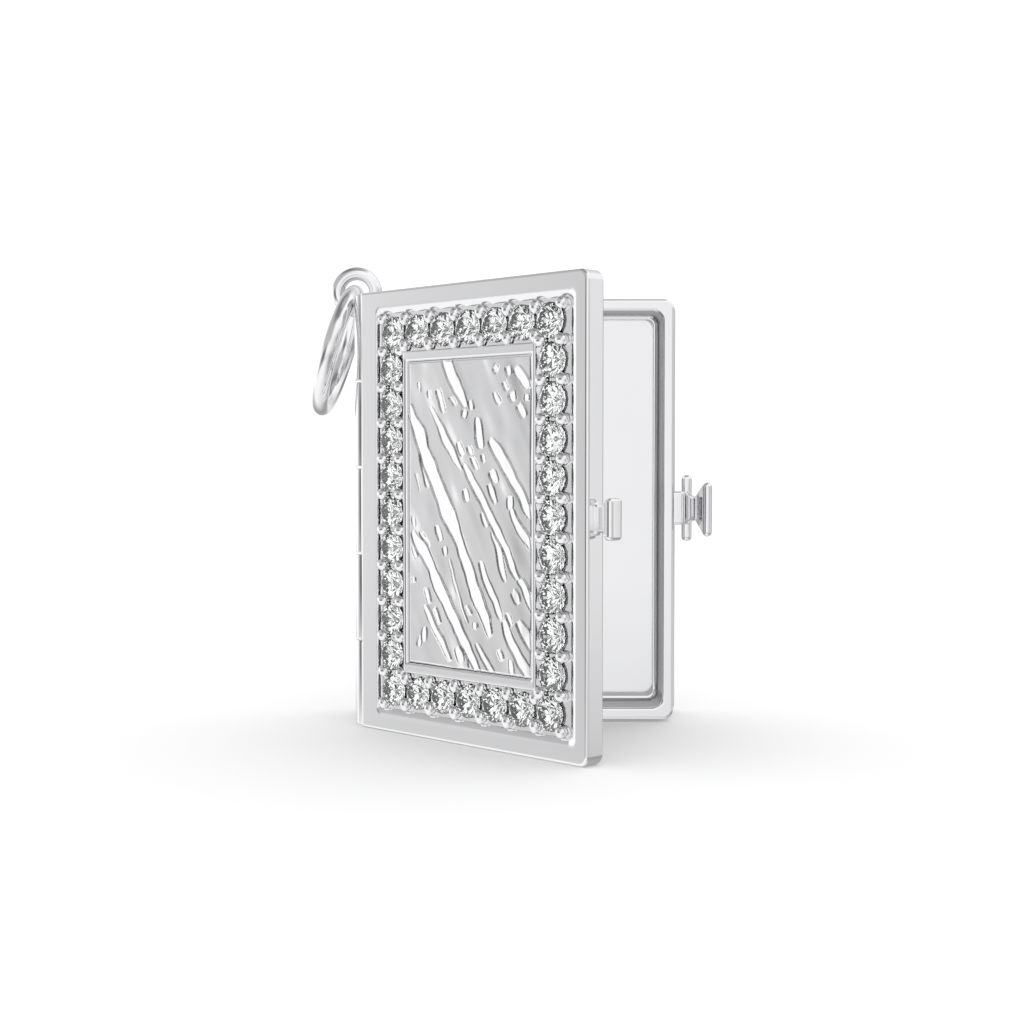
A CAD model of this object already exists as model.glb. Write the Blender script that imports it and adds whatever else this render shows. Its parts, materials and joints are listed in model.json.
"""Looks of the book locket: polished metal, cast relief, brilliant-cut stones and a soft white studio.

Shapes are drawn in millimetres in the closed book's own axes. x runs from the hinge axis to the free
edge, the front cover's outer face looks along -y, and z is up. on_tray() and on_cover() then set them
in the frame.
"""
import json
import math

import bmesh
import bpy
import numpy as np
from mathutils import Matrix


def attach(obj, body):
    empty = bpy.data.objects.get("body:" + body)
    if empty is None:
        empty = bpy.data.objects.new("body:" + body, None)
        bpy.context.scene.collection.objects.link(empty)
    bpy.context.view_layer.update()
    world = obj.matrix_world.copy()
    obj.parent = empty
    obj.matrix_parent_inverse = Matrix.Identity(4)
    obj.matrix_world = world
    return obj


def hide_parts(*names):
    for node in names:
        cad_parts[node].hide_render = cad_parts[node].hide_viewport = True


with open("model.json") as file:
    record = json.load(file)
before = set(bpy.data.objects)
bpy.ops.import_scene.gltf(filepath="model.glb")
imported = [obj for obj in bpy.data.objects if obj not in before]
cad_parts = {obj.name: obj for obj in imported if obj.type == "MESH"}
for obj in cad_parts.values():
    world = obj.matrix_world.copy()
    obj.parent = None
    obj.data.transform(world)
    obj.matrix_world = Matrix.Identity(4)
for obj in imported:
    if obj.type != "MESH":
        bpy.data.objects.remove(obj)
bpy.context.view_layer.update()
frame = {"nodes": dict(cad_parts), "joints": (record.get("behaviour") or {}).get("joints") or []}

MM = 0.001
joints = {joint["name"]: joint for joint in frame["joints"]}
HINGE = np.array(joints["cover_hinge"]["pos_m"])
RING_PIVOT = np.array(joints["ring_swing"]["pos_m"])
RING_AXIS = np.array(joints["ring_swing"]["axis"])
# Angle by which the cover stands open
OPEN = math.radians(44.5)

# Covers
COVER_H = 20.0
COVER_T = 1.0
COVER_X0 = 0.65
COVER_X1 = COVER_X0 + 14.0
BACK_X0 = -0.25
CORNER_R = 0.47
FILLET = 0.135
BACK_FILLET = 0.1
# Distance from a rounded edge to the row of points that keeps the face beside it flat
SUPPORT = 0.02
# How far a soldered-on block ends below its neighbour's flat end
TUCK = 0.012
# Smallest corner radius, so that each outline keeps its count of points
LEAST_R = 0.004

# Stones: their grid, and how far the channel reaches past the middles of the outer ones
PITCH = 1.61
ACROSS = 7
UP = 11
COLUMN_OUT = 0.12
CHANNEL_OUT_X = 0.95
CHANNEL_OUT_Z = 0.89
CHANNEL_IN = 0.86
FACE_X = (COVER_X0 + COVER_X1) / 2
FACE_Z = COVER_H / 2
ROWS_W = (ACROSS - 1) * PITCH
ROWS_H = (UP - 1) * PITCH

# Page frame
PAGES_Y0 = 0.03
PAGES_Y1 = 2.67
PAGES_X0 = 0.75
PAGES_X1 = 14.33
PAGES_Z0 = 0.14
PAGES_Z1 = COVER_H - 0.14
PAGES_WALL = 0.55
SPINE_X0 = -0.1
SPINE_Y0 = 0.75

# Hinge
KNUCKLE_R = 0.6
KNUCKLES = 5
SLOT = 0.08
BORE_R = 0.33
KNUCKLE_EDGE = 0.04
KNUCKLE_POINTS = 48


def on_tray(points):
    """Closed-book millimetres to the frame, for what belongs to the tray."""
    return np.asarray(points) * MM + HINGE


def on_cover(points):
    """Closed-book millimetres to the frame, for what belongs to the front cover as it stands open."""
    p = np.asarray(points)
    c, s = math.cos(OPEN), math.sin(OPEN)
    turned = np.column_stack((p[:, 0] * c + p[:, 1] * s, -p[:, 0] * s + p[:, 1] * c, p[:, 2]))
    return turned * MM + HINGE


def make_object(name, points, faces, material, body, node=None, sharp=32.0, second=None):
    """A mesh object from frame points, shaded smooth below the sharp angle, that rides on a body."""
    mesh = bpy.data.meshes.new(name)
    mesh.from_pydata([tuple(p) for p in points], [], faces)
    built = bmesh.new()
    built.from_mesh(mesh)
    bmesh.ops.recalc_face_normals(built, faces=built.faces)
    built.to_mesh(mesh)
    built.free()
    mesh.polygons.foreach_set("use_smooth", [True] * len(mesh.polygons))
    mesh.set_sharp_from_angle(angle=math.radians(sharp))
    mesh.materials.append(material)
    if second:
        mesh.materials.append(second[0])
        mesh.polygons.foreach_set("material_index", second[1])
    mesh.update()
    piece = bpy.data.objects.new(name, mesh)
    bpy.context.scene.collection.objects.link(piece)
    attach(piece, body)
    if node:
        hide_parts(node)
    return piece


class Shape:
    """Points and faces gathered for one piece. finish holds 1 for each face with the second material."""

    def __init__(self):
        self.points = []
        self.faces = []
        self.finish = []

    def add(self, points, faces):
        first = len(self.points)
        self.points.extend([tuple(p) for p in points])
        self.faces.extend([tuple(first + i for i in face) for face in faces])
        self.finish.extend([0] * len(faces))

    def loft(self, loops, closed=False):
        """Skins a list of loops with equal point counts, and caps both ends or joins them up."""
        n = len(loops[0])
        points = [p for loop in loops for p in loop]
        faces = []
        rows = len(loops) if closed else len(loops) - 1
        for r in range(rows):
            a, b = r * n, ((r + 1) % len(loops)) * n
            for i in range(n):
                j = (i + 1) % n
                faces.append((a + i, a + j, b + j, b + i))
        if not closed:
            faces.append(tuple(range(n - 1, -1, -1)))
            faces.append(tuple((len(loops) - 1) * n + i for i in range(n)))
        self.add(points, faces)


def arc(cx, cy, r, a0, a1, steps):
    """Points along an arc, angles in degrees, both ends included."""
    angles = np.radians(np.linspace(a0, a1, steps + 1))
    return [(cx + r * math.cos(a), cy + r * math.sin(a)) for a in angles]


def rounded_rect(x0, z0, x1, z1, radii, steps=8):
    """Outline of a rectangle from its low corner, anticlockwise, with one radius for each corner."""
    ll, hl, hh, lh = [max(r, LEAST_R) for r in radii]
    return (
        arc(x0 + ll, z0 + ll, ll, 180, 270, steps)
        + arc(x1 - hl, z0 + hl, hl, 270, 360, steps)
        + arc(x1 - hh, z1 - hh, hh, 0, 90, steps)
        + arc(x0 + lh, z1 - lh, lh, 90, 180, steps)
    )


def rect_stations(x0, z0, x1, z1, radii):
    """Function that gives the rounded rectangle inset by a distance, with its radii shrunk as much."""
    return lambda d: rounded_rect(x0 + d, z0 + d, x1 - d, z1 - d, [r - d for r in radii])


def outline_stations(outline):
    """The same for any anticlockwise outline, moved inwards by mitred normals."""
    p = np.array(outline)
    forward = np.roll(p, -1, axis=0) - p
    forward /= np.maximum(np.linalg.norm(forward, axis=1), 1e-9)[:, None]
    normal = np.column_stack((-forward[:, 1], forward[:, 0]))
    both = normal + np.roll(normal, 1, axis=0)
    push = both * 2 / np.maximum((both * both).sum(axis=1), 0.5)[:, None]
    return lambda d: p + push * d


def filleted(stations, start, end, r0, r1, steps=5, axis="y"):
    """Loops of a prism whose end edges are rounded by r0 and r1, with a support loop on each flat end."""
    turn = np.linspace(0, math.pi / 2, steps + 1)
    rows = [(r0 + SUPPORT, start)]
    rows += [(r0 * (1 - math.sin(a)), start + r0 * (1 - math.cos(a))) for a in turn]
    rows += [(0.0, start + r0 + SUPPORT), (0.0, end - r1 - SUPPORT)]
    rows += [(r1 * (1 - math.cos(a)), end - r1 * (1 - math.sin(a))) for a in turn]
    rows += [(r1 + SUPPORT, end)]
    if axis == "y":
        return [[(u, level, v) for u, v in stations(d)] for d, level in rows]
    return [[(u, v, level) for u, v in stations(d)] for d, level in rows]


# Materials

def node_material(name):
    material = bpy.data.materials.new(name)
    material.use_nodes = True
    tree = material.node_tree
    return material, tree, tree.nodes["Principled BSDF"]


def object_noise(tree, scale, detail, roughness=0.5):
    place = tree.nodes.new("ShaderNodeTexCoord")
    noise = tree.nodes.new("ShaderNodeTexNoise")
    noise.inputs["Scale"].default_value = scale
    noise.inputs["Detail"].default_value = detail
    noise.inputs["Roughness"].default_value = roughness
    tree.links.new(place.outputs["Object"], noise.inputs["Vector"])
    return noise


def ranged(tree, source, low, high):
    span = tree.nodes.new("ShaderNodeMapRange")
    span.inputs["To Min"].default_value = low
    span.inputs["To Max"].default_value = high
    tree.links.new(source, span.inputs["Value"])
    return span


# Cloud in the metals' colour and polish, and their polishing marks, in cells per metre
CLOUD_SCALE = 260.0
MARK_SCALE = 5200.0
MARK_DEPTH = 0.00001
TINT_SCALE = 700.0
STONE_IOR = 2.4


def metal_material(name, light, dark, rough_low, rough_high, bump):
    """White metal between two greys: a faint cloud in its colour and polish, and fine polishing marks."""
    material, tree, shader = node_material(name)
    shader.inputs["Metallic"].default_value = 1.0
    cloud = object_noise(tree, CLOUD_SCALE, 4.0)
    mix = tree.nodes.new("ShaderNodeMix")
    mix.data_type = "RGBA"
    mix.inputs["A"].default_value = (*light, 1)
    mix.inputs["B"].default_value = (*dark, 1)
    tree.links.new(cloud.outputs["Fac"], mix.inputs["Factor"])
    tree.links.new(mix.outputs["Result"], shader.inputs["Base Color"])
    rough = ranged(tree, cloud.outputs["Fac"], rough_low, rough_high)
    tree.links.new(rough.outputs["Result"], shader.inputs["Roughness"])
    marks = object_noise(tree, MARK_SCALE, 3.0, 0.6)
    relief = tree.nodes.new("ShaderNodeBump")
    relief.inputs["Strength"].default_value = bump
    relief.inputs["Distance"].default_value = MARK_DEPTH
    tree.links.new(marks.outputs["Fac"], relief.inputs["Height"])
    tree.links.new(relief.outputs["Normal"], shader.inputs["Normal"])
    return material


def stone_material():
    """Colourless brilliant: clear and strongly refracting, with a faint tint that varies over the stones."""
    material, tree, shader = node_material("brilliant_stone")
    shader.inputs["IOR"].default_value = STONE_IOR
    shader.inputs["Transmission Weight"].default_value = 1.0
    tint = object_noise(tree, TINT_SCALE, 2.0)
    mix = tree.nodes.new("ShaderNodeMix")
    mix.data_type = "RGBA"
    mix.inputs["A"].default_value = (0.97, 0.985, 1.0, 1)
    mix.inputs["B"].default_value = (1.0, 1.0, 0.995, 1)
    tree.links.new(tint.outputs["Fac"], mix.inputs["Factor"])
    tree.links.new(mix.outputs["Result"], shader.inputs["Base Color"])
    shine = ranged(tree, tint.outputs["Fac"], 0.0, 0.004)
    tree.links.new(shine.outputs["Result"], shader.inputs["Roughness"])
    return material


BRIGHT = (0.90, 0.90, 0.91)
POLISHED = metal_material("polished_silver", BRIGHT, (0.86, 0.86, 0.875), 0.05, 0.09, 0.05)
RELIEF = metal_material("cast_relief", BRIGHT, (0.84, 0.84, 0.855), 0.07, 0.13, 0.08)
DRILLED = metal_material("drilled_seat", (0.32, 0.32, 0.32), (0.26, 0.26, 0.26), 0.25, 0.35, 0.2)
DARK_LINE = metal_material("relief_outline", (0.34, 0.34, 0.34), (0.26, 0.26, 0.26), 0.15, 0.25, 0.1)
STONE = stone_material()


# Front cover

def stone_grid():
    """Place of each stone in its frame: column and row."""
    a, b = ACROSS - 1, UP - 1
    return (
        [(k, 0) for k in range(a)]
        + [(a, k) for k in range(b)]
        + [(a - k, b) for k in range(a)]
        + [(0, b - k) for k in range(b)]
    )


def is_corner(cell):
    return cell[0] in (0, ACROSS - 1) and cell[1] in (0, UP - 1)


def stone_place(cell):
    """Middle of a stone on the cover's face, in x and z."""
    out = 0.0
    if cell[0] in (0, ACROSS - 1) and not is_corner(cell):
        out = COLUMN_OUT if cell[0] else -COLUMN_OUT
    return (FACE_X - ROWS_W / 2 + cell[0] * PITCH + out, FACE_Z - ROWS_H / 2 + cell[1] * PITCH)


# Channel for the stones: half its size, its shift to the right, and the level of its hidden floor
CHANNEL_HALF_W = ROWS_W / 2 + COLUMN_OUT + CHANNEL_OUT_X
CHANNEL_HALF_H = ROWS_H / 2 + CHANNEL_OUT_Z
CHANNEL_SHIFT = 0.08
CHANNEL_FLOOR = 0.94
# Its outer wall is rolled over: the roll's width, its width on the left side, its depth and its corner radius
ROLL_W = 0.42
ROLL_LEFT = 0.08
ROLL_D = 0.17
ROLL_R = 0.36
WALL_R = 0.26
# Rim between the channel and the panel: half its size, its level below the face and its two rounded edges
RIM_HALF_W = ROWS_W / 2 + COLUMN_OUT - CHANNEL_IN
RIM_HALF_H = ROWS_H / 2 - CHANNEL_IN
RIM_R = 0.12
RIM_D = 0.01
RIM_OUTER = 0.07
RIM_INNER = 0.13
# Panel, and the recess that it lies in
PANEL_HALF_W = 3.8
PANEL_HALF_H = 6.7
PANEL_GAP = 0.03
PANEL_GROUND = 0.12
RECESS_D = 0.42
RECESS_R = 0.08
# Bed of the stones, and the seats cut into it
BED_D = 0.2
BED_BACK = 0.935
HOLE_R = 0.72
SEAT_SPOKES = 40


def face_loop(half_w, half_h, radius, depth):
    """Rounded rectangle about the middle of the cover's face, at a depth below it."""
    outline = rounded_rect(FACE_X - half_w, FACE_Z - half_h, FACE_X + half_w, FACE_Z + half_h, [radius] * 4)
    return [(u, -COVER_T + depth, v) for u, v in outline]


def channel_loop(out, radius, depth):
    """Outer edge of the stones' channel, moved outwards by a part of its roll."""
    left = FACE_X + CHANNEL_SHIFT - CHANNEL_HALF_W - ROLL_LEFT * out
    right = FACE_X + CHANNEL_SHIFT + CHANNEL_HALF_W + ROLL_W * out
    low = FACE_Z - CHANNEL_HALF_H - ROLL_W * out
    high = FACE_Z + CHANNEL_HALF_H + ROLL_W * out
    outline = rounded_rect(left, low, right, high, [radius] * 4)
    return [(u, -COVER_T + depth, v) for u, v in outline]


def cover_plate(shape):
    """Plate with rounded edges, lofted from its back by way of the border, the channel and the rim."""
    radii = [0.05, CORNER_R, CORNER_R, 0.05]
    stations = rect_stations(COVER_X0, 0.0, COVER_X1, COVER_H, radii)
    loops = filleted(stations, -COVER_T, 0.0, FILLET, BACK_FILLET)
    loops.reverse()
    loops.append(channel_loop(1.0 + SUPPORT / ROLL_W, ROLL_R, 0.0))
    for t in np.linspace(0, 1, 9):
        loops.append(channel_loop(1.0 - t, ROLL_R + (WALL_R - ROLL_R) * t, ROLL_D * t ** 2))
    loops.append(channel_loop(-SUPPORT, WALL_R, ROLL_D + 2 * SUPPORT))
    loops.append(channel_loop(-SUPPORT, WALL_R, CHANNEL_FLOOR))
    loops.append(face_loop(RIM_HALF_W, RIM_HALF_H, RIM_R, CHANNEL_FLOOR))
    loops.append(face_loop(RIM_HALF_W, RIM_HALF_H, RIM_R, RIM_D + RIM_OUTER + SUPPORT))
    for a in np.linspace(0, math.pi / 2, 6):
        d = RIM_OUTER * (1 - math.cos(a))
        level = RIM_D + RIM_OUTER * (1 - math.sin(a))
        loops.append(face_loop(RIM_HALF_W - d, RIM_HALF_H - d, RIM_R, level))
    w, h = PANEL_HALF_W + PANEL_GAP, PANEL_HALF_H + PANEL_GAP
    flat = RIM_INNER + 2 * SUPPORT
    loops.append(face_loop(w + flat, h + flat, RECESS_R + SUPPORT, RIM_D))
    for a in np.linspace(0, math.pi / 2, 6):
        d = RIM_INNER * (1 - math.sin(a))
        loops.append(face_loop(w + d, h + d, RECESS_R, RIM_D + RIM_INNER * (1 - math.cos(a))))
    loops.append(face_loop(w, h, RECESS_R, RECESS_D))
    shape.loft(loops)


def cell_bounds(cell):
    """Rectangle of the channel's bed that belongs to one stone."""
    x, z = stone_place(cell)
    half = PITCH / 2
    x0, x1, z0, z1 = x - half, x + half, z - half, z + half
    left = FACE_X + CHANNEL_SHIFT - CHANNEL_HALF_W
    right = FACE_X + CHANNEL_SHIFT + CHANNEL_HALF_W
    low, high = FACE_Z - CHANNEL_HALF_H, FACE_Z + CHANNEL_HALF_H
    rim_l, rim_r = FACE_X - RIM_HALF_W, FACE_X + RIM_HALF_W
    rim_b, rim_t = FACE_Z - RIM_HALF_H, FACE_Z + RIM_HALF_H
    corner = is_corner(cell)
    if cell[0] == 0:
        x0 = left
        x1 = x + half if corner else rim_l
    if cell[0] == ACROSS - 1:
        x1 = right
        x0 = x - half if corner else rim_r
    if cell[1] == 0:
        z0 = low
        z1 = z + half if corner else rim_b
    if cell[1] == UP - 1:
        z1 = high
        z0 = z - half if corner else rim_t
    return x0, z0, x1, z1


def box_ray(x, z, angle, x0, z0, x1, z1):
    """Where a ray from (x, z) leaves the rectangle."""
    c, s = math.cos(angle), math.sin(angle)
    tx = (x1 - x) / c if c > 1e-9 else (x0 - x) / c if c < -1e-9 else 1e9
    tz = (z1 - z) / s if s > 1e-9 else (z0 - z) / s if s < -1e-9 else 1e9
    t = min(tx, tz)
    return x + c * t, z + s * t


def stone_bed(shape, cell):
    """Closed block of metal under one stone, with its cut seat: a cup and then a cone."""
    x, z = stone_place(cell)
    x0, z0, x1, z1 = cell_bounds(cell)
    corners = ((x0, z0), (x1, z0), (x1, z1), (x0, z1))
    to_corners = {round(math.atan2(cz - z, cx - x) % (2 * math.pi), 5) for cx, cz in corners}
    spokes = {round(2 * math.pi * k / SEAT_SPOKES, 5) for k in range(SEAT_SPOKES)}
    angles = sorted(spokes | to_corners)
    edge = [box_ray(x, z, a, x0, z0, x1, z1) for a in angles]
    top, bottom = -COVER_T + BED_D, -COVER_T + BED_BACK
    reach = [min(HOLE_R, math.hypot(u - x, v - z) - 0.015) for u, v in edge]

    def circle(trim, y):
        radii = [r - trim for r in reach]
        return [(x + r * math.cos(a), y, z + r * math.sin(a)) for a, r in zip(angles, radii)]

    def point(y):
        return [(x + 0.02 * math.cos(a), y, z + 0.02 * math.sin(a)) for a in angles]

    # Trims and levels of the seat: a softened edge, a cup, and a cone down to a small flat end
    loops = [
        point(bottom),
        [(u, bottom, v) for u, v in edge],
        [(u, top, v) for u, v in edge],
        circle(0.0, top),
        circle(0.012, top + 0.012),
        circle(0.03, -COVER_T + 0.4),
        circle(0.06, -COVER_T + 0.44),
        point(bottom - 0.01),
    ]
    first = len(shape.faces)
    shape.loft(loops)
    # The seat itself, past the block's first four rows of faces, has a drilled finish
    drilled = 4 * len(angles)
    shape.finish[first + drilled:] = [1] * (len(shape.faces) - first - drilled)


# Bead prongs: their distance from the row's middle line, half their length and width, height and foot level
BEAD_SIDE = 0.585
BEAD_CORNER = 0.66
BEAD_LONG = 0.32
BEAD_SHORT = 0.275
BEAD_H = 0.23
BEAD_D = 0.08
BEAD_UNDER = 0.6


def bead(shape, x, z, wide_x, wide_z):
    """Bead prong: a rounded ball of metal pushed up from the bed, a little longer across the row."""
    rings, around = 8, 20
    loops = []
    for r in range(rings):
        a = -BEAD_UNDER + (math.pi / 2 + BEAD_UNDER) * r / rings
        size = math.cos(a)
        y = -COVER_T + BEAD_D - BEAD_H * math.sin(a)
        loops.append([
            (x + wide_x * size * math.cos(t), y, z + wide_z * size * math.sin(t))
            for t in (2 * math.pi * k / around for k in range(around))
        ])
    loops.append([(x, -COVER_T + BEAD_D - BEAD_H, z)] * around)
    points = [p for loop in loops[:-1] for p in loop] + [loops[-1][0]]
    faces = [tuple(range(around - 1, -1, -1))]
    for r in range(rings - 1):
        for i in range(around):
            j = (i + 1) % around
            faces.append((r * around + i, r * around + j, (r + 1) * around + j, (r + 1) * around + i))
    tip = rings * around
    last = tip - around
    faces += [(last + i, last + (i + 1) % around, tip) for i in range(around)]
    shape.add(points, faces)


def bead_row(shape):
    """A pair of beads between each two stones, and one more at each corner."""
    cells = stone_grid()
    for k, cell in enumerate(cells):
        a, b = stone_place(cell), stone_place(cells[(k + 1) % len(cells)])
        middle = ((a[0] + b[0]) / 2, (a[1] + b[1]) / 2)
        upright = abs(a[0] - b[0]) < PITCH / 2
        for side in (-1, 1):
            if upright:
                bead(shape, middle[0] + side * BEAD_SIDE, middle[1], BEAD_LONG, BEAD_SHORT)
            else:
                bead(shape, middle[0], middle[1] + side * BEAD_SIDE, BEAD_SHORT, BEAD_LONG)
        if is_corner(cell):
            sx = 1 if a[0] > FACE_X else -1
            sz = 1 if a[1] > FACE_Z else -1
            bead(shape, a[0] + sx * BEAD_CORNER, a[1] + sz * BEAD_CORNER, BEAD_SHORT, BEAD_SHORT)


def knuckle(shape, k):
    """One hinge knuckle with rounded ends and the bore for the pin."""
    low = k * COVER_H / KNUCKLES + (0 if k == 0 else SLOT / 2)
    high = (k + 1) * COVER_H / KNUCKLES - (0 if k == KNUCKLES - 1 else SLOT / 2)
    turns = [2 * math.pi * i / KNUCKLE_POINTS for i in range(KNUCKLE_POINTS)]

    def circle(r, z):
        return [(r * math.cos(t), r * math.sin(t), z) for t in turns]

    flat = KNUCKLE_R - KNUCKLE_EDGE - SUPPORT
    loops = [circle(BORE_R, high), circle(BORE_R, low), circle(flat, low)]
    for a in np.linspace(0, math.pi / 2, 6):
        up = low + KNUCKLE_EDGE * (1 - math.cos(a))
        loops.append(circle(KNUCKLE_R - KNUCKLE_EDGE * (1 - math.sin(a)), up))
    for a in np.linspace(0, math.pi / 2, 6):
        up = high - KNUCKLE_EDGE * (1 - math.sin(a))
        loops.append(circle(KNUCKLE_R - KNUCKLE_EDGE * (1 - math.cos(a)), up))
    loops.append(circle(flat, high))
    shape.loft(loops, closed=True)
    return low, high


def plan_prism(shape, outline, z0, z1, r=0.05, steps=4):
    """Upright prism from an outline in x and y, with rounded ends."""
    stations = outline if callable(outline) else outline_stations(outline)
    shape.loft(filleted(stations, z0, z1, r, r, steps, axis="z"))


def front_cover():
    shape = Shape()
    cover_plate(shape)
    for cell in stone_grid():
        stone_bed(shape, cell)
    bead_row(shape)
    # Web in plan, clockwise: the knuckle's front runs over into the plate in one soft curve
    web = (
        [(0.34, -0.1), (0.8, -0.1), (0.8, -COVER_T + FILLET)]
        + arc(COVER_X0 + 0.12, -COVER_T + 0.2, 0.2, 270, 200, 6)
        + arc(0.25, -0.36, 0.2, 310, 240, 4)
    )
    for k in range(0, KNUCKLES, 2):
        low, high = knuckle(shape, k)
        plan_prism(shape, web[::-1], low + TUCK, high - TUCK, 0.04)
    hook(shape)
    return make_object("cover_metal", on_cover(shape.points), shape.faces, POLISHED, "cover",
                       "front_cover", second=(DRILLED, shape.finish))


# Hook: its middle, thickness, level below the face, reach past the cover's edge, and heights of neck and bar
QUARTER = np.linspace(0, math.pi / 2, 7)
HOOK_Z = 10.0
HOOK_T = 0.4
HOOK_STEP = 0.39
HOOK_REACH = 0.88
NECK_H = 1.1
NECK_EDGE = 0.12
ROOT_FLARE = 0.2
BAR_FLARE = 0.16
BAR_H = 1.7
BAR_BACK = 1.165
BAR_EDGE = 0.15


def hook(shape):
    """Flat neck that flares at its root and into the bar, and the bar turned back at the end."""
    front = -COVER_T + HOOK_STEP
    end = COVER_X1 + HOOK_REACH
    root_r, bar_r = ROOT_FLARE, BAR_FLARE
    x0, x1 = COVER_X1 - 0.02, end - HOOK_T + 0.04

    def section(x, half):
        low, high = HOOK_Z - half, HOOK_Z + half
        outline = rounded_rect(front, low, front + HOOK_T, high, [NECK_EDGE] * 4, 4)
        return [(x, y, z) for y, z in outline]

    half = NECK_H / 2
    loops = [section(x0 - 0.2, half + root_r)]
    for a in QUARTER:
        loops.append(section(x0 + root_r * (1 - math.cos(a)), half + root_r * (1 - math.sin(a))))
    for a in QUARTER:
        loops.append(section(x1 - bar_r * (1 - math.sin(a)), half + bar_r * (1 - math.cos(a))))
    loops.append(section(x1 + 0.1, half + bar_r))
    shape.loft(loops)
    back = front + BAR_BACK - HOOK_STEP
    bar = rect_stations(end - HOOK_T, front, end, back, [0.16, 0.18, 0.18, 0.18])
    plan_prism(shape, bar, HOOK_Z - BAR_H / 2, HOOK_Z + BAR_H / 2, BAR_EDGE, 6)


# Relief panel

# Streaks, from the panel's middle: x, z, length, width, share of the slope, slant from upright in degrees
STREAKS = [
    (-1.0, 6.2, 3.6, 0.5, 1.0, 28),
    (-1.2, -0.1, 11.2, 0.58, 1.0, 27.5),
    (-1.35, 3.2, 3.3, 0.3, 0.8, 36),
    (1.45, -0.25, 5.8, 0.34, 0.9, 35),
    (2.6, 1.65, 4.1, 0.42, 0.9, 37),
    (3.2, -0.6, 2.1, 0.32, 0.8, 33),
    (-1.4, -3.8, 7.4, 0.5, 1.0, 35),
    (1.4, -3.2, 2.7, 0.3, 0.8, 27),
    (1.9, -1.7, 2.3, 0.24, 0.7, 25),
    (3.0, -5.7, 3.1, 0.38, 0.9, 33),
    (-2.0, -5.2, 2.8, 0.3, 0.8, 35),
    (3.6, -3.3, 1.7, 0.34, 0.8, 32),
    (3.55, -4.95, 1.6, 0.3, 0.7, 38),
    (1.05, -6.1, 1.8, 0.2, 0.6, 37),
    (3.3, 5.75, 1.1, 0.4, 0.7, 38),
    (0.75, 3.6, 1.35, 0.34, 0.7, 8),
    (-1.65, 4.95, 1.2, 0.24, 0.6, 15),
    (-2.7, 1.95, 1.6, 0.28, 0.7, 17),
]
# Small drops: x, z, length, width and slant
DROPS = [
    (-3.1, 5.5, 0.45, 0.16, 8), (-2.4, 5.3, 0.4, 0.2, 12), (1.8, 5.05, 0.7, 0.2, 30),
    (2.3, 5.55, 0.42, 0.18, 25), (2.7, 5.0, 0.5, 0.26, 18), (3.25, 4.35, 0.75, 0.3, 35),
    (3.5, 4.9, 0.35, 0.2, 5), (1.75, 6.2, 0.35, 0.3, 60), (2.55, 6.1, 0.4, 0.22, 20),
    (0.2, 4.7, 0.42, 0.24, 15), (-0.2, 4.3, 0.35, 0.2, -10), (-0.4, 2.8, 0.65, 0.28, 35),
    (0.2, 2.8, 0.55, 0.2, 22), (0.95, 2.5, 0.4, 0.18, 15), (0.45, 2.2, 0.5, 0.2, 30),
    (1.55, 1.65, 0.6, 0.36, 25), (1.45, 0.95, 0.9, 0.24, 28), (-0.1, 0.8, 0.6, 0.26, 22),
    (1.0, -0.25, 0.6, 0.28, 25), (-1.8, -0.8, 0.75, 0.26, 20), (-1.45, -1.6, 0.42, 0.18, 15),
    (-3.5, -0.3, 0.45, 0.26, 10), (-2.6, -3.6, 0.65, 0.3, 25), (-1.9, -4.5, 0.85, 0.2, 30),
    (-3.5, -3.1, 0.28, 0.16, 10), (0.4, -4.75, 0.28, 0.22, 10), (0.05, -4.1, 0.55, 0.18, 30),
    (2.9, -3.4, 0.6, 0.22, 35), (2.55, -4.3, 0.7, 0.2, 35), (1.95, -5.9, 0.6, 0.18, 15),
    (2.6, -6.35, 0.6, 0.2, 5), (-2.8, -5.35, 0.65, 0.26, 0), (-3.1, -5.65, 0.6, 0.3, -15),
    (2.55, 0.55, 0.7, 0.3, 5), (-3.4, -1.75, 0.6, 0.22, 20), (-2.8, -1.1, 1.0, 0.14, 33),
    (-3.2, 1.45, 0.8, 0.12, 25), (-0.9, 4.85, 0.6, 0.14, 30), (-0.6, -3.4, 3.0, 0.1, 22),
    (-0.6, -6.0, 0.7, 0.34, 20), (0.1, -6.3, 0.6, 0.2, 10),
]
DROP_SHARE = 0.7
# Slope across a streak's top, its width of outline, and the least and the most added share of its width
TOP_SLOPE = 0.13
OUTLINE_W = 0.055
FAT_SPAN = (0.9, 0.54)
# How far the noise bends the streaks, and how high it swells the ground between them
WARP_WIDE = 0.2
WARP_FINE = 0.07
WARP_LONG = 0.3
SWELL_WIDE = 0.05
SWELL_FINE = 0.024
SLANT = math.radians(29)
PANEL_EDGE = 0.08
EDGE_DROP = 0.03
PANEL_CELLS = (230, 400)


def lattice(i, j, seed):
    """Repeatable number from 0 to 1 for each whole-number place."""
    h = np.sin(i * 127.1 + j * 311.7 + seed * 74.7) * 43758.5453
    return h - np.floor(h)


def smooth_noise(x, z, seed):
    """Value noise with smooth steps, one lattice cell per unit."""
    xi, zi = np.floor(x), np.floor(z)
    fx, fz = x - xi, z - zi
    fx, fz = fx * fx * (3 - 2 * fx), fz * fz * (3 - 2 * fz)
    low = lattice(xi, zi, seed) * (1 - fx) + lattice(xi + 1, zi, seed) * fx
    high = lattice(xi, zi + 1, seed) * (1 - fx) + lattice(xi + 1, zi + 1, seed) * fx
    return low * (1 - fz) + high * fz


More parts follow.
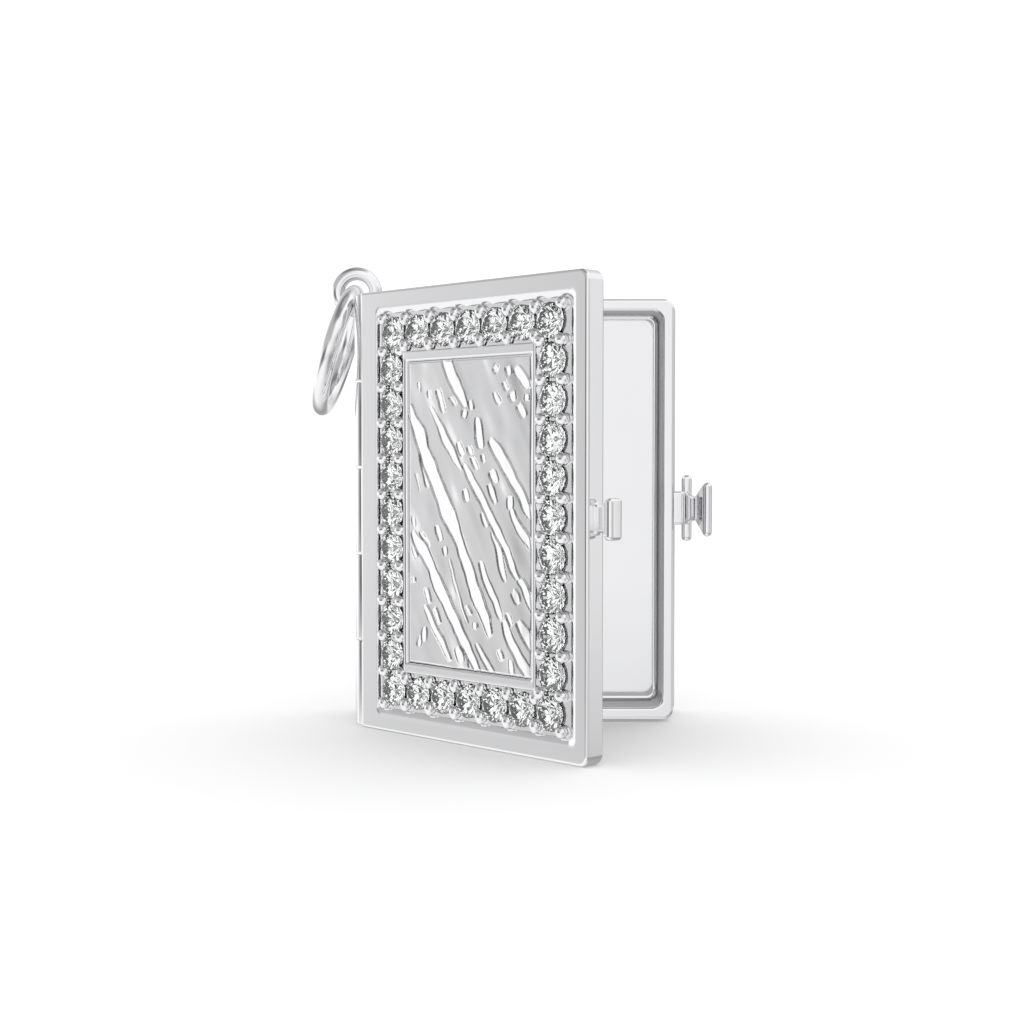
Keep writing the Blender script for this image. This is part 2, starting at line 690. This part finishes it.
def relief_height(x, z):
    """Height of the cast surface over its ground, and where a step outlines a streak or drop."""
    warp_x = x + WARP_WIDE * (smooth_noise(x * 1.1, z * 0.8, 1) - 0.5)
    warp_x = warp_x + WARP_FINE * (smooth_noise(x * 4, z * 2.4, 2) - 0.5)
    warp_z = z + WARP_LONG * (smooth_noise(x * 1.3, z * 1.3, 3) - 0.5)
    height = np.zeros_like(x)
    taken = np.zeros(x.shape, dtype=bool)
    outline = np.zeros(x.shape, dtype=bool)
    drops = [(*drop[:4], DROP_SHARE, drop[4]) for drop in DROPS]
    for sx, sz, length, width, share, slant in STREAKS + drops:
        a = math.radians(slant)
        dx, dz = warp_x - sx, warp_z - sz
        along = (-dx * math.sin(a) + dz * math.cos(a)) / (length / 2)
        across = dx * math.cos(a) + dz * math.sin(a)
        fat = FAT_SPAN[0] + FAT_SPAN[1] * smooth_noise(dz * 1.4 + sx, dx * 0.7, 4)
        half = 0.5 * width * np.clip(1 - along * along, 0, 1) ** 0.22 * fat
        near = (np.abs(along) < 1) & (np.abs(across) < half + OUTLINE_W) & ~taken
        body = np.clip((half + OUTLINE_W - np.abs(across)) / OUTLINE_W, 0, 1)
        top = np.clip(across, -half, half) * TOP_SLOPE * share ** 0.3
        height = np.where(near, body * top, height)
        outline |= near & (np.abs(across) > half)
        taken |= near
    u = (x * math.cos(SLANT) + z * math.sin(SLANT)) * 1.4
    v = (-x * math.sin(SLANT) + z * math.cos(SLANT)) * 0.5
    swell = SWELL_WIDE * (smooth_noise(u * 0.5, v * 0.7, 7) - 0.5)
    swell = swell + SWELL_FINE * (smooth_noise(u * 1.3, v * 1.6, 8) - 0.5)
    return height + np.where(taken, 0, swell), outline


def relief_panel():
    """Closed slab whose front is the height field, so that its relief is in the mesh."""
    nx, nz = PANEL_CELLS
    xs = np.linspace(-PANEL_HALF_W, PANEL_HALF_W, nx + 1)
    zs = np.linspace(-PANEL_HALF_H, PANEL_HALF_H, nz + 1)
    gx, gz = np.meshgrid(xs, zs)
    inside = np.minimum(PANEL_HALF_W - np.abs(gx), PANEL_HALF_H - np.abs(gz))
    edge = (inside / PANEL_EDGE).clip(0, 1)
    height, outline = relief_height(gx, gz)
    height = height * edge - EDGE_DROP * (1 - edge)
    level = -COVER_T + PANEL_GROUND - height
    front = np.column_stack((gx.ravel() + FACE_X, level.ravel(), gz.ravel() + FACE_Z))
    columns = nx + 1
    count = columns * (nz + 1)
    faces = [
        (j * columns + i, j * columns + i + 1, (j + 1) * columns + i + 1, (j + 1) * columns + i)
        for j in range(nz) for i in range(nx)
    ]
    finish = (outline[:-1, :-1] & outline[1:, 1:]).astype(int).ravel().tolist()
    rim = (
        list(range(nx))
        + [j * columns + nx for j in range(nz)]
        + [nz * columns + i for i in range(nx, 0, -1)]
        + [j * columns for j in range(nz, 0, -1)]
    )
    back = front[rim].copy()
    back[:, 1] = -COVER_T + RECESS_D - 0.02
    n = len(rim)
    for k in range(n):
        j = (k + 1) % n
        faces.append((rim[k], count + k, count + j, rim[j]))
    faces.append(tuple(count + k for k in range(n - 1, -1, -1)))
    points = np.vstack((front, back))
    finish += [0] * (len(faces) - len(finish))
    return make_object("relief_cast", on_cover(points), faces, RELIEF, "cover",
                       "relief_panel", 80.0, (DARK_LINE, finish))


# Tray

def back_board(shape):
    radii = [0.06, CORNER_R, CORNER_R, 0.06]
    stations = rect_stations(BACK_X0, 0.0, COVER_X1, COVER_H, radii)
    shape.loft(filleted(stations, PAGES_Y1, PAGES_Y1 + COVER_T, 0.12, FILLET))


POCKET_R = 0.5
POCKET_LIP = 0.11
POCKET_FLOOR = PAGES_Y1 - 0.02
FLOOR_FILLET = 0.16


def page_frame(shape):
    """Outer wall, front rim, pocket wall and floor of the page frame."""
    outer = rect_stations(PAGES_X0, PAGES_Z0, PAGES_X1, PAGES_Z1, [0.08, CORNER_R, CORNER_R, 0.08])

    def ring(d, y, radius=None):
        if radius is None:
            outline = outer(d)
        else:
            x1, z1 = PAGES_X1 - d, PAGES_Z1 - d
            outline = rounded_rect(PAGES_X0 + d, PAGES_Z0 + d, x1, z1, [radius] * 4)
        return [(x, y, z) for x, z in outline]

    loops = [ring(0.0, PAGES_Y1 + 0.1), ring(0.0, PAGES_Y0 + FILLET + SUPPORT)]
    for a in np.linspace(0, math.pi / 2, 7):
        loops.append(ring(FILLET * (1 - math.cos(a)), PAGES_Y0 + FILLET * (1 - math.sin(a))))
    loops.append(ring(FILLET + SUPPORT, PAGES_Y0))
    loops.append(ring(PAGES_WALL - POCKET_LIP - SUPPORT, PAGES_Y0, POCKET_R + 0.05))
    for a in np.linspace(0, math.pi / 2, 5):
        d = PAGES_WALL - POCKET_LIP * (1 - math.sin(a))
        loops.append(ring(d, PAGES_Y0 + POCKET_LIP * (1 - math.cos(a)), POCKET_R))
    deep = POCKET_FLOOR - FLOOR_FILLET
    wall_row = len(loops)
    loops.append(ring(PAGES_WALL, PAGES_Y0 + POCKET_LIP + SUPPORT, POCKET_R))
    loops.append(ring(PAGES_WALL, deep - SUPPORT, POCKET_R))
    for a in np.linspace(0, math.pi / 2, 7):
        d = FLOOR_FILLET * (1 - math.cos(a))
        loops.append(ring(PAGES_WALL + d, deep + FLOOR_FILLET * math.sin(a), POCKET_R - d))
    d = FLOOR_FILLET + SUPPORT
    loops.append(ring(PAGES_WALL + d, POCKET_FLOOR, POCKET_R - FLOOR_FILLET))
    # The pocket's straight walls have the same dull finish as the drilled seats
    first = len(shape.faces) + wall_row * len(loops[0])
    shape.loft(loops)
    shape.finish[first:first + len(loops[0])] = [1] * len(loops[0])
    # Spine wall behind the barrel
    radii = [0.14, 0.02, 0.02, 0.02]
    spine = rect_stations(SPINE_X0, SPINE_Y0, PAGES_X0 + 0.3, PAGES_Y1 + 0.05, radii)
    plan_prism(shape, spine, PAGES_Z0 + TUCK, PAGES_Z1 - TUCK, 0.06)


def torus(shape, centre, u, v, big, small, around, tube):
    """Ring of wire about centre, in the plane of the unit vectors u and v."""
    centre, u, v = (np.asarray(a, dtype=float) for a in (centre, u, v))
    w = np.cross(u, v)
    loops = []
    for i in range(around):
        t = 2 * math.pi * i / around
        out = math.cos(t) * u + math.sin(t) * v
        loops.append([
            tuple(centre + out * (big + small * math.cos(s)) + w * (small * math.sin(s)))
            for s in (2 * math.pi * k / tube for k in range(tube))
        ])
    shape.loft(loops, closed=True)


EYELET = (-0.7, 2.2, 20.38)
EYELET_R = 0.89
EYELET_WIRE = 0.32
CATCH_Z = 10.05
# Catch: half the heights of its stub and back flange, and the radii of the flange and of the leaf's end
STUB_HALF = 0.8
FLANGE_HALF = 1.575
FLANGE_R = 0.19
LIP_END_R = 0.19
# Leaf of the catch: x and y of its middle line, its height and its thickness
LEAF = [
    (15.04, 1.66, 1.7, 0.26),
    (15.18, 1.42, 1.52, 0.26),
    (15.34, 1.2, 1.2, 0.26),
    (15.5, 0.98, 1.22, 0.26),
    (15.61, 0.72, 1.6, 0.26),
    (15.68, 0.42, 1.95, 0.26),
    (15.73, 0.12, 2.22, 0.3),
    (15.77, -0.16, 2.42, 0.37),
    (15.8, -0.38, 2.5, 0.42),
    (15.81, -0.58, 2.53, 0.43),
]


def tapered_strip(shape, rows, end_r):
    """Sprung strip with round edges. Each row holds x and y of its middle line, height and thickness."""
    rows = np.array(rows, dtype=float)
    forward = np.gradient(rows[:, :2], axis=0)
    forward /= np.linalg.norm(forward, axis=1)[:, None]
    last = rows[-1]
    for a in np.linspace(0, math.pi / 2, 7)[1:]:
        cut = 2 * end_r * (1 - math.cos(a))
        middle = last[:2] + forward[-1] * end_r * math.sin(a)
        rows = np.vstack((rows, [middle[0], middle[1], last[2] - cut, max(last[3] - cut, 0.02)]))
        forward = np.vstack((forward, forward[-1]))
    loops = []
    for (x, y, height, thickness), (fx, fy) in zip(rows, forward):
        r = thickness / 2
        half = height / 2 - r
        near = max(half - SUPPORT, 0.01)
        section = arc(0, half, r, 0, 180, 6) + [(-r, near), (-r, -near)]
        section += arc(0, -half, r, 180, 360, 6) + [(r, -near), (r, near)]
        loops.append([(x + fy * a, y - fx * a, CATCH_Z + b) for a, b in section])
    shape.loft(loops)


def smooth_path(points, steps):
    """Catmull-Rom curve through rows of numbers."""
    p = np.array(points, dtype=float)
    p = np.vstack((2 * p[0] - p[1], p, 2 * p[-1] - p[-2]))
    out = []
    for i in range(1, len(p) - 2):
        for k in range(steps):
            t = k / steps
            out.append(0.5 * (
                2 * p[i] + (p[i + 1] - p[i - 1]) * t
                + (2 * p[i - 1] - 5 * p[i] + 4 * p[i + 1] - p[i + 2]) * t * t
                + (3 * p[i] - p[i - 1] - 3 * p[i + 1] + p[i + 2]) * t ** 3
            ))
    out.append(p[-2])
    return np.array(out)


def catch(shape):
    """Stub, upright back flange, and the waisted spring leaf with its rolled lip."""
    stub = rect_stations(PAGES_X1 - 0.2, 1.2, PAGES_X1 + 0.6, 1.95, [0.02, 0.14, 0.14, 0.02])
    plan_prism(shape, stub, CATCH_Z - STUB_HALF, CATCH_Z + STUB_HALF, 0.12)
    flange = rect_stations(PAGES_X1 + 0.53, 1.5, PAGES_X1 + 1.01, 1.9, [FLANGE_R] * 4)
    plan_prism(shape, flange, CATCH_Z - FLANGE_HALF, CATCH_Z + FLANGE_HALF, FLANGE_R)
    tapered_strip(shape, smooth_path(LEAF, 6), LIP_END_R)


def back_tray():
    shape = Shape()
    back_board(shape)
    page_frame(shape)
    # Web in plan, from the knuckle back to the spine wall
    back = SPINE_Y0 + 0.05
    web = [(-0.1, 0.36), (0.1, 0.36), (0.5, 0.42), (0.5, back), (-0.1, back)]
    for k in range(1, KNUCKLES, 2):
        low, high = knuckle(shape, k)
        plan_prism(shape, web, low + TUCK, high - TUCK, 0.04)
    torus(shape, EYELET, (1, 0, 0), (0, 0, 1), EYELET_R, EYELET_WIRE, 96, 32)
    catch(shape)
    return make_object("tray_metal", on_tray(shape.points), shape.faces, POLISHED, "tray",
                       "back_tray", second=(DRILLED, shape.finish))


RING_R = 2.85
RING_WIRE = 0.4
RING_LEAN = math.radians(16.7)


def jump_ring():
    """Plain round ring of wire, hanging from the eyelet."""
    shape = Shape()
    across = np.array([RING_AXIS[1], -RING_AXIS[0], 0.0])
    down = np.array([0, 0, -math.cos(RING_LEAN)]) - math.sin(RING_LEAN) * across
    torus(shape, RING_R * down, RING_AXIS, down, RING_R, RING_WIRE, 160, 36)
    points = np.array(shape.points) * MM + RING_PIVOT
    return make_object("chain_ring_wire", points, shape.faces, POLISHED, "ring",
                       "jump_ring")


front_cover()
relief_panel()
back_tray()
jump_ring()

for name, node in frame["nodes"].items():
    if name.startswith("stone_"):
        node.data.materials.clear()
        node.data.materials.append(STONE)
    elif name == "hinge_pin":
        node.data.materials.clear()
        node.data.materials.append(POLISHED)


# Studio

FLOOR_HALF = 1.5
FLOOR_CLOUD = 6.0


def floor():
    """Pale ground with a faint cloud. Reflections in the metal see the studio alone."""
    mesh = bpy.data.meshes.new("studio_floor")
    corners = ((-1, -1), (1, -1), (1, 1), (-1, 1))
    mesh.from_pydata([(x * FLOOR_HALF, y * FLOOR_HALF, 0) for x, y in corners], [], [(0, 1, 2, 3)])
    plane = bpy.data.objects.new("studio_floor", mesh)
    bpy.context.scene.collection.objects.link(plane)
    material, tree, shader = node_material("pale_floor")
    shader.inputs["Roughness"].default_value = 0.9
    cloud = object_noise(tree, FLOOR_CLOUD, 2.0)
    mix = tree.nodes.new("ShaderNodeMix")
    mix.data_type = "RGBA"
    mix.inputs["A"].default_value = (0.95, 0.95, 0.95, 1)
    mix.inputs["B"].default_value = (0.96, 0.96, 0.96, 1)
    tree.links.new(cloud.outputs["Fac"], mix.inputs["Factor"])
    tree.links.new(mix.outputs["Result"], shader.inputs["Base Color"])
    mesh.materials.append(material)
    plane.visible_glossy = False
    plane.visible_transmission = False


# Brightness by direction. Round the horizon: from behind by way of the left, the front and the right.
AROUND = [
    (0.0, 0.95), (0.16, 1.2), (0.228, 1.2), (0.238, 0.78), (0.26, 0.68), (0.28, 0.4), (0.3, 0.2),
    (0.37, 0.2), (0.405, 0.95), (0.45, 1.1), (0.52, 0.95), (0.57, 0.8), (0.64, 0.52), (0.7, 0.6),
    (0.75, 0.88), (0.79, 0.75), (0.825, 0.2), (0.87, 0.22), (0.92, 0.6), (1.0, 0.95),
]
# From straight down, by way of the horizon, to straight up: to the front, to each side and to the back
FRONT = [
    (0.0, 0.85), (0.25, 0.9), (0.4, 0.8), (0.45, 0.75), (0.5, 0.95), (0.62, 1.1), (0.76, 1.1),
    (0.81, 0.3), (0.89, 0.25), (0.95, 0.5), (1.0, 0.52),
]
LEFT = [
    (0.0, 0.9), (0.2, 1.05), (0.39, 1.05), (0.445, 0.66), (0.5, 0.74), (0.54, 0.78), (0.6, 0.56),
    (0.74, 0.5), (0.8, 0.28), (0.88, 0.2), (0.94, 0.4), (1.0, 0.52),
]
RIGHT = [
    (0.0, 0.85), (0.15, 0.7), (0.27, 0.45), (0.37, 0.35), (0.42, 0.62), (0.5, 0.85), (0.6, 1.0),
    (0.85, 1.1), (0.93, 0.5), (1.0, 0.52),
]
BACK = [
    (0.0, 0.85), (0.15, 0.6), (0.3, 0.38), (0.4, 0.42), (0.48, 0.75), (0.6, 0.8), (0.8, 0.6),
    (0.93, 0.7), (1.0, 0.52),
]
# Shares of these by height, and by the left-right and front-back parts of the direction
NEAR_HORIZON = [(0.41, 0.0), (0.48, 1.0), (0.53, 1.0), (0.61, 0.0)]
TO_LEFT = [(0.3, 1.0), (0.5, 0.0)]
TO_RIGHT = [(0.5, 0.0), (0.7, 1.0)]
TO_BACK = [(0.66, 0.0), (0.88, 1.0)]
# A white card behind the left side, low down, which the tilted relief reflects
CARD_BACK = [(0.555, 0.0), (0.575, 1.0), (0.7, 1.0), (0.73, 0.0)]
CARD_HEIGHT = [(0.37, 0.0), (0.4, 1.0), (0.56, 1.0), (0.6, 0.0)]
CARD = 1.15
DAYLIGHT = 1.22
# What light through the stones sees: small lamps and flags, by the share of a cloudy noise
SPARKLE = [(0.0, 0.02), (0.42, 0.03), (0.45, 1.35), (0.56, 1.6), (0.6, 0.8), (1.0, 2.2)]
SPARKLE_SCALE = 9.0


def studio_world():
    """White tent with darker strips. The camera and floor see plain white, and the stones small lamps."""
    world = bpy.data.worlds.new("studio")
    bpy.context.scene.world = world
    world.use_nodes = True
    tree = world.node_tree
    link = tree.links.new

    def math_node(operation, a, b=None):
        node = tree.nodes.new("ShaderNodeMath")
        node.operation = operation
        for socket, value in zip(node.inputs, (a, b)):
            if value is None:
                continue
            if isinstance(value, (int, float)):
                socket.default_value = value
            else:
                link(value, socket)
        return node.outputs[0]

    def ramp(source, stops):
        node = tree.nodes.new("ShaderNodeValToRGB")
        while len(node.color_ramp.elements) < len(stops):
            node.color_ramp.elements.new(0.5)
        for element, (place, grey) in zip(node.color_ramp.elements, stops):
            element.position = place
            element.color = (grey, grey, grey, 1)
        link(source, node.inputs["Fac"])
        return node.outputs["Color"]

    def mix(factor, a, b):
        node = tree.nodes.new("ShaderNodeMix")
        node.data_type = "RGBA"
        link(factor, node.inputs["Factor"])
        link(a, node.inputs["A"])
        link(b, node.inputs["B"])
        return node.outputs["Result"]

    def half(value):
        return math_node("ADD", math_node("MULTIPLY", value, 0.5), 0.5)

    place = tree.nodes.new("ShaderNodeTexCoord")
    split = tree.nodes.new("ShaderNodeSeparateXYZ")
    link(place.outputs["Generated"], split.inputs["Vector"])
    x, y, z = split.outputs
    turn = math_node("ARCTAN2", x, math_node("MULTIPLY", y, -1.0))
    around = ramp(math_node("ADD", math_node("DIVIDE", turn, 2 * math.pi), 0.5), AROUND)
    height = math_node("ADD", math_node("DIVIDE", math_node("ARCSINE", z), math.pi), 0.5)
    sides = mix(ramp(half(x), TO_LEFT), ramp(height, FRONT), ramp(height, LEFT))
    sides = mix(ramp(half(x), TO_RIGHT), sides, ramp(height, RIGHT))
    upright = mix(ramp(half(y), TO_BACK), sides, ramp(height, BACK))
    tent = mix(ramp(height, NEAR_HORIZON), upright, around)
    card = tree.nodes.new("ShaderNodeRGB")
    card.outputs[0].default_value = (CARD, CARD, CARD, 1)
    card_part = math_node("MULTIPLY", ramp(half(y), CARD_BACK), ramp(half(x), TO_LEFT))
    card_part = math_node("MULTIPLY", card_part, ramp(height, CARD_HEIGHT))
    tent = mix(card_part, tent, card.outputs[0])
    path = tree.nodes.new("ShaderNodeLightPath")
    lamps = tree.nodes.new("ShaderNodeTexNoise")
    lamps.inputs["Scale"].default_value = SPARKLE_SCALE
    lamps.inputs["Detail"].default_value = 1.0
    link(place.outputs["Generated"], lamps.inputs["Vector"])
    tent = mix(path.outputs["Is Transmission Ray"], tent, ramp(lamps.outputs["Fac"], SPARKLE))
    white = tree.nodes.new("ShaderNodeRGB")
    white.outputs[0].default_value = (DAYLIGHT, DAYLIGHT, DAYLIGHT, 1)
    plain = math_node("MAXIMUM", path.outputs["Is Camera Ray"], path.outputs["Is Diffuse Ray"])
    background = tree.nodes["Background"]
    link(mix(plain, tent, white.outputs[0]), background.inputs["Color"])
    background.inputs["Strength"].default_value = 1.0


floor()
studio_world()

camera_data = bpy.data.cameras.new("photo_view")
camera = bpy.data.objects.new("photo_view", camera_data)
camera_data.sensor_width = 36.0
FOCAL_PX = 1567.0
camera_data.lens = FOCAL_PX / 1024 * 36.0
camera_data.clip_start = 0.005
camera.location = (HINGE[0] + 6.74 * MM, HINGE[1] - 73.33 * MM, 12.46 * MM)
camera.rotation_euler = (math.radians(90 - 1.99), 0, 0)
bpy.context.scene.collection.objects.link(camera)
bpy.context.scene.camera = camera
bpy.context.scene.view_settings.view_transform = "Standard"
